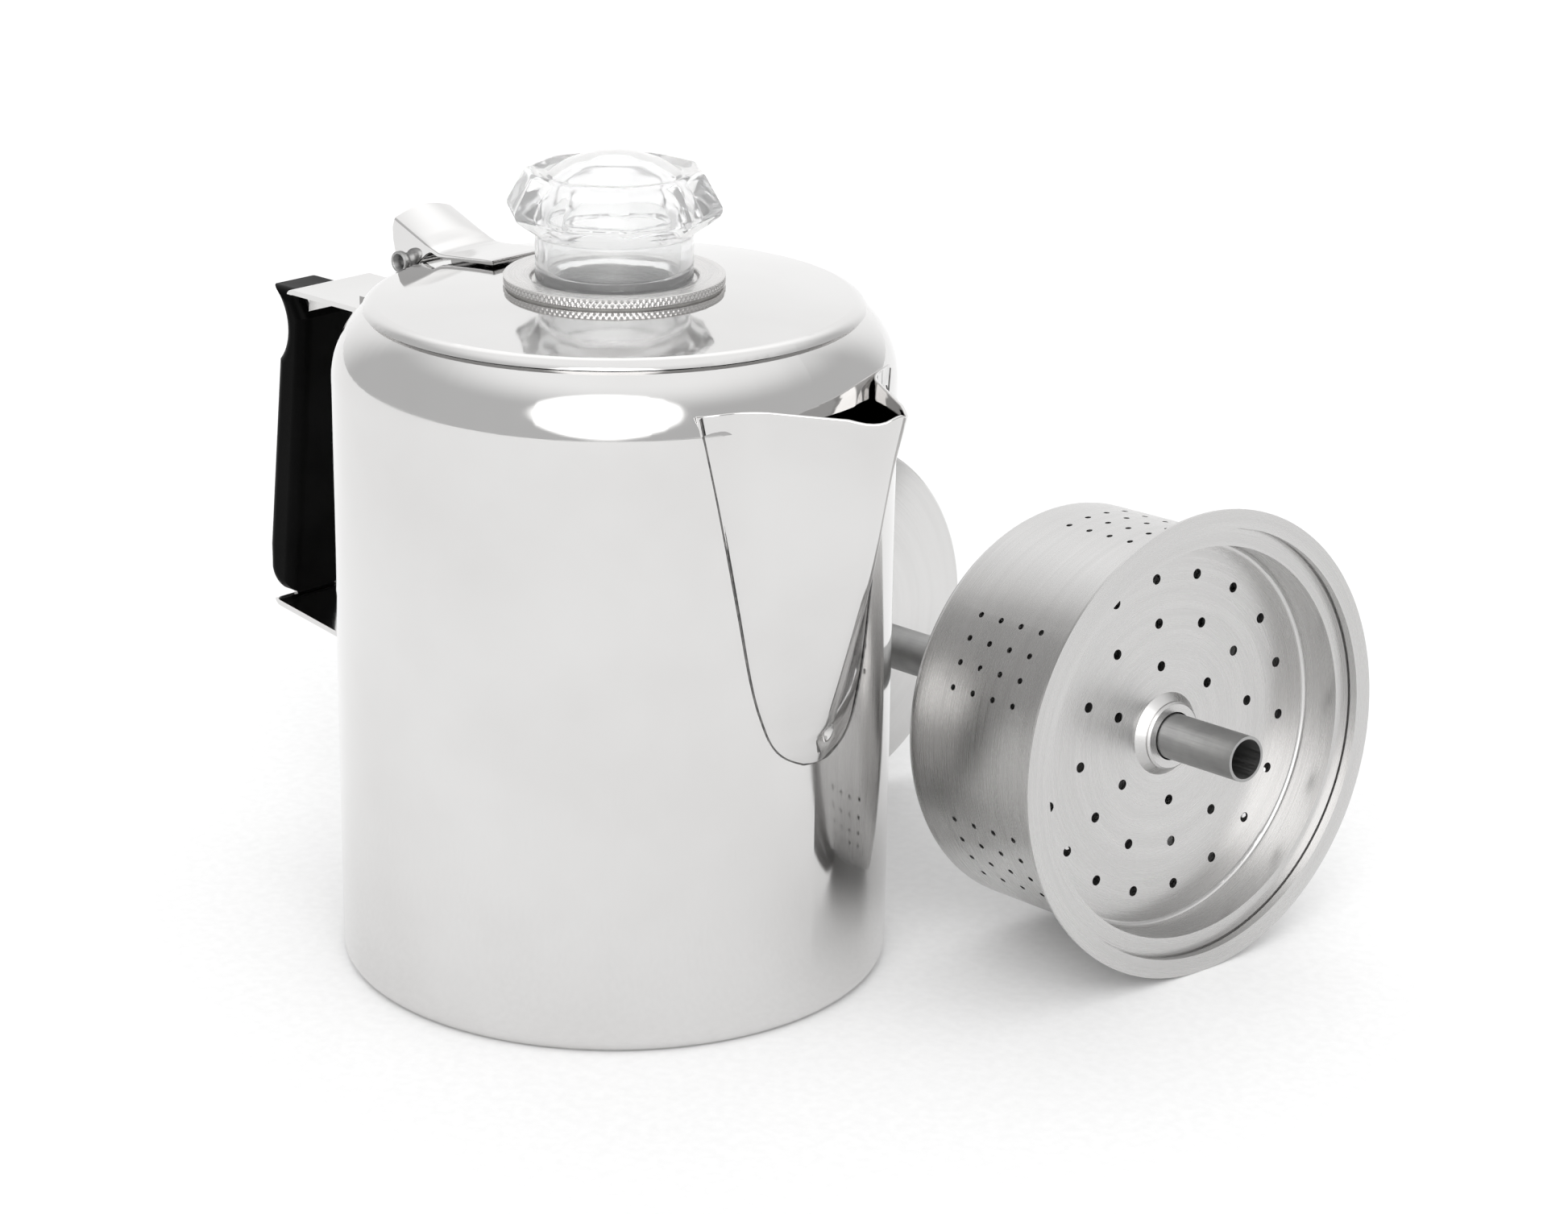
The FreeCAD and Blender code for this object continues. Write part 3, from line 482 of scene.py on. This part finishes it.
def make_lid_bracket(material):
    """Hood that is crowned across its width and flattens into the tongue, with an ear each side."""
    low_corner, high_corner = (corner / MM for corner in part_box("lid_hinge_bracket"))
    back, front, half = low_corner.x, high_corner.x, high_corner.y
    pin = (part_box("hinge_pin")[0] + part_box("hinge_pin")[1]) / 2 / MM
    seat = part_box("lid_plate")[1].z / MM
    fold = back + HOOD_FOLD
    edges = [(back, high_corner.z - 1.2), (fold - 1.6, seat + 1.3), (fold, seat + 0.6),
             (fold + 2.6, seat - 0.15), (fold + 5.0, seat - 0.1), (front, seat + 1.3)]
    crowns = [(back, 1.8), (fold - 3.0, 1.3), (fold + 2.0, 0.4), (fold + 7.0, 0.0), (front, 0.0)]
    stations = [back, back + 0.12, back + 0.35, back + 0.8]
    stations += [back + 1.5 + 0.55 * step for step in range(31)]
    stations += [stations[-1] + (front - stations[-1]) * step / 6 for step in range(1, 7)]
    points = []
    for place in stations:
        edge = between(place, edges)
        leg = hood_leg(place, edge, back, pin, pin.z - low_corner.z)
        before_fold = max(0.0, fold - place)
        rounding = 0.35 + min(2.2, before_fold * 0.5)
        for across, height in eased(hood_outline(half, edge, between(place, crowns), leg, rounding)):
            share = min(1.0, max(0.0, (edge - height) / (edge - pin.z - EAR_STRAIGHT)))
            bow = math.sin(math.pi * share) * before_fold / HOOD_FOLD
            points.append((place - bow, across, height))
    faces = grid_faces(len(stations), len(points) // len(stations), False, False)
    bracket = new_piece("hinge_hood", points, faces, material, "lid",
                        ("lid_hinge_bracket",))
    thicken(bracket, 1.0)
    soften(bracket, 0.2)


def make_hinge_tube(material):
    """Tubular pin whose ends are flared and rolled over outside the ears."""
    low, high = (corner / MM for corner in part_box("hinge_pin"))
    centre = (low + high) / 2
    half = high.y
    # Radius, distance from the middle, rounding.
    side = [(1.35, half - 1.6, 0.3), (1.95, half, 0.3), (2.5, half, 0.3), (2.5, half - 1.3, 0.4),
            (1.8, half - 2.2, 0.4)]
    outline = [corner + (0.0,) for corner in side]
    outline += [(radius, -along, rounding, 0.0) for radius, along, rounding in reversed(side)]
    rounded = eased(outline, 4)
    turned = turned_points(rounded, 48, lambda angle, radius, height, _: radius)
    points = [(x + centre.x, z, y + centre.z) for x, y, z in turned]
    faces = grid_faces(48, len(rounded), True, True)
    new_piece("hinge_tube", points, faces, material, "pot", ("hinge_pin",))


def smooth(value, places):
    """Values at a place among (place, value, ...) rows, on a curve through them."""
    last = len(places) - 1
    index = max(0, min(last - 1, sum(row[0] <= value for row in places) - 1))
    before, start, end, after = (places[max(0, min(last, index + step))] for step in (-1, 0, 1, 2))
    length = end[0] - start[0]
    share = max(0.0, min(1.0, (value - start[0]) / length))
    made = []
    for column in range(1, len(start)):
        leaving = (end[column] - before[column]) / (end[0] - before[0]) * length
        arriving = (after[column] - start[column]) / (after[0] - start[0]) * length
        made.append((2 * share ** 3 - 3 * share ** 2 + 1) * start[column]
                    + (share ** 3 - 2 * share ** 2 + share) * leaving
                    + (3 * share ** 2 - 2 * share ** 3) * end[column]
                    + (share ** 3 - share ** 2) * arriving)
    return made


# Level sections of the spout: height, reach of the nose, half width at the wall, how far the nose is
# rounded and how far the sides are pinched in beside the wall. All in millimetres.
SPOUT_SECTIONS = [
    (61.6, 63.2, 3.6, 9.0, 0.0),
    (64.0, 63.9, 8.6, 9.0, 0.0),
    (67.0, 64.7, 11.9, 7.0, 0.0),
    (70.0, 65.7, 13.6, 3.4, 0.0),
    (80.0, 69.1, 17.1, 3.2, 0.0),
    (100.0, 75.0, 21.0, 3.4, 0.0),
    (113.0, 78.2, 23.4, 3.8, 0.7),
    (125.0, 80.6, 25.6, 5.0, 2.2),
    (134.0, 82.5, 27.4, 8.5, 3.3),
    (143.0, 85.0, 29.1, 17.2, 4.2),
]
SPOUT_BOTTOM, SPOUT_TOP = SPOUT_SECTIONS[0][0], SPOUT_SECTIONS[-1][0]
# Height of the spout's rim, by the distance from the pot's axis.
SPOUT_RIM = [(55.0, 143.0), (62.0, 143.2), (70.0, 143.2), (77.0, 142.9), (81.0, 142.1), (83.5, 142.4),
             (85.0, 143.9)]
# The pinch is this share of the way along a side, and the bend there starts this far from it.
PINCH_SHARE, PINCH_ROUNDING = 0.23, 5.0
# How far the sheet's edges run into the wall.
SPOUT_ROOT = 0.6
SPOUT_SHEET = 0.55
# The crimp is a dent beside the lower end of the crease.
CRIMP_SIDE, CRIMP_HEIGHT, CRIMP_DEPTH, CRIMP_SIZE = 1.4, 68.0, 1.4, 1.7
SEAM_STEPS, SEAM_RADIUS, SEAM_REACH = 16, 0.18, 0.08


def spout_outline(height, radius):
    """Level section of the spout's outer face: from the wall round the nose and back to the wall."""
    nose, half_width, rounding, pinch = smooth(height, SPOUT_SECTIONS)
    wall = Vector((math.sqrt(radius ** 2 - half_width ** 2), -half_width))
    side = Vector((nose, 0.0)) - wall
    inward = Vector((-side.y, side.x)).normalized()
    start = wall - side.normalized() * SPOUT_ROOT
    knee = wall + side * PINCH_SHARE + inward * pinch
    slope = Vector((nose, 0.0)) - knee
    rounding = min(rounding, slope.length * 0.5)
    point = nose + rounding * slope.normalized().x / 2.0
    return eased([(start.x, start.y, 0.0), (knee.x, knee.y, PINCH_ROUNDING), (point, 0.0, rounding),
                  (knee.x, -knee.y, PINCH_ROUNDING), (start.x, -start.y, 0.0)], 16)


def spout_shares():
    """Shares of the spout's height, close together at the crimp and at the lip."""
    shares = []
    for start, end, steps in ((0.0, 0.12, 30), (0.12, 0.90, 36), (0.90, 1.0, 24)):
        shares += [start + (end - start) * step / steps for step in range(steps)]
    return shares + [1.0]


def make_spout(material):
    """Folded sheet: a sharp crease that ends in a crimp, a rounded lip and sides that hug the wall."""
    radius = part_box("pot_body")[1].y / MM
    shares = spout_shares()
    sections = [spout_outline(SPOUT_BOTTOM + (SPOUT_TOP - SPOUT_BOTTOM) * share, radius) for share in shares]
    points = []
    for column, (reach, _) in enumerate(sections[-1]):
        top = smooth(reach, SPOUT_RIM)[0]
        for share, section in zip(shares, sections):
            along, across = section[column]
            height = SPOUT_BOTTOM + (top - SPOUT_BOTTOM) * share
            away = (across - CRIMP_SIDE) ** 2 + (height - CRIMP_HEIGHT) ** 2
            dent = CRIMP_DEPTH * math.exp(-away / CRIMP_SIZE ** 2)
            points.append((along - dent, across, height))
    faces = grid_faces(len(sections[-1]), len(shares), False, False)
    sheet = new_piece("spout_sheet", points, faces, material, "pot", ("spout",))
    thicken(sheet, SPOUT_SHEET)


def make_spout_seam(material):
    """Fine dark line where the spout is welded to the wall, down one side and up the other."""
    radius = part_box("pot_body")[1].y / MM
    side = []
    for step in range(SEAM_STEPS + 1):
        share = (1.0 - step / SEAM_STEPS) ** 2
        height = SPOUT_BOTTOM + (SPOUT_TOP - 0.5 - SPOUT_BOTTOM) * share
        half_width = smooth(height, SPOUT_SECTIONS)[1]
        side.append((math.asin(half_width / radius), height))
    route = side + [(0.0, SPOUT_BOTTOM - 0.3)]
    route += [(-turn, height) for turn, height in reversed(side)]
    curve = bpy.data.curves.new("spout_seam", "CURVE")
    curve.dimensions = "3D"
    curve.bevel_depth = SEAM_RADIUS * MM
    curve.bevel_resolution = 3
    curve.resolution_u = 8
    spline = curve.splines.new("NURBS")
    spline.points.add(len(route) - 1)
    reach = radius + SEAM_REACH
    for point, (turn, height) in zip(spline.points, route):
        point.co = (reach * math.cos(turn) * MM, reach * math.sin(turn) * MM, height * MM, 1.0)
    spline.order_u = 3
    spline.use_endpoint_u = True
    seam = bpy.data.objects.new("spout_seam", curve)
    bpy.context.collection.objects.link(seam)
    curve.materials.append(material)
    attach(seam, "pot")


def make_pieces(finishes):
    make_knob(finishes["clear_plastic"])
    make_knob_ring(finishes["satin_steel"])
    make_lid_bracket(finishes["polished_steel"])
    make_hinge_tube(finishes["grey_tube"])
    make_spout(finishes["polished_steel"])
    make_spout_seam(weld_steel())


# ---------------------------------------------------------------- studio

ROOM_LIGHT = 0.62

# Direction of each window, half width, width of its soft edge (degrees) and strength.
WINDOWS = [
    ((0.58, -0.64, 0.50), 24.0, 7.0, 2.3),
    ((0.00, 0.10, 1.00), 20.0, 40.0, 0.55),
    ((-0.68, 0.66, 0.35), 22.0, 30.0, 0.50),
]


def floor_material():
    """Pale matt paper."""
    material, tree, shader = new_material("floor_paper", Roughness=0.85, Specular_IOR_Level=0.1)
    place = add(tree, "TexCoord").outputs["Object"]
    grain = noise(tree, place, 400.0)
    colour(tree, shader, grain, (0.90, 0.90, 0.90), (0.93, 0.93, 0.93))
    return material


def add_floor():
    bpy.ops.mesh.primitive_plane_add(size=14.0, location=(0.0, 0.0, 0.0))
    floor = bpy.context.object
    floor.name = "floor"
    floor.data.materials.append(floor_material())


def soft_window(tree, toward, spread, edge, strength):
    """Light from a round window in the given direction, fading out over its edge (degrees)."""
    looking = add(tree, "TexCoord").outputs["Generated"]
    facing = add(tree, "VectorMath", {0: looking, 1: Vector(toward).normalized()}, operation="DOT_PRODUCT")
    window = add(tree, "MapRange", {
        "Value": facing.outputs["Value"], "From Min": math.cos(math.radians(spread + edge)),
        "From Max": math.cos(math.radians(spread)), "To Max": strength}, interpolation_type="SMOOTHSTEP")
    return window.outputs["Result"]


def light_studio():
    """White room: a large soft window behind the camera, weak ones above and on the far side."""
    world = bpy.data.worlds.new("studio")
    world.use_nodes = True
    tree = world.node_tree
    room = tree.nodes["Background"]
    room.inputs["Color"].default_value = (1.0, 1.0, 1.0, 1.0)
    total = add(tree, "Value").outputs["Value"]
    total.default_value = ROOM_LIGHT
    for window in WINDOWS:
        light = soft_window(tree, *window)
        total = add(tree, "Math", {0: total, 1: light}, operation="ADD").outputs["Value"]
    tree.links.new(total, room.inputs["Strength"])
    bpy.context.scene.world = world


CAMERA_PLACE = (0.5863, -0.5661, 0.3607)
CAMERA_AZIMUTH, CAMERA_DOWN = math.radians(46.0), math.radians(18.923)
CAMERA_LENS, CAMERA_SHIFT = 87.8, 0.108


def add_camera():
    """The view: from in front of the spout's right side, looking a little down."""
    camera = bpy.data.cameras.new("camera")
    camera.sensor_width = 36.0
    camera.lens = CAMERA_LENS
    camera.shift_x = CAMERA_SHIFT
    camera.clip_start = 0.01
    holder = bpy.data.objects.new("camera", camera)
    back = Vector((math.sin(CAMERA_AZIMUTH) * math.cos(CAMERA_DOWN),
                   -math.cos(CAMERA_AZIMUTH) * math.cos(CAMERA_DOWN), math.sin(CAMERA_DOWN)))
    holder.location = CAMERA_PLACE
    holder.rotation_euler = (-back).to_track_quat("-Z", "Y").to_euler()
    bpy.context.collection.objects.link(holder)
    bpy.context.scene.camera = holder


bpy.context.scene.view_settings.view_transform = "Standard"
make_pieces(dress_all())
add_floor()
light_studio()
add_camera()
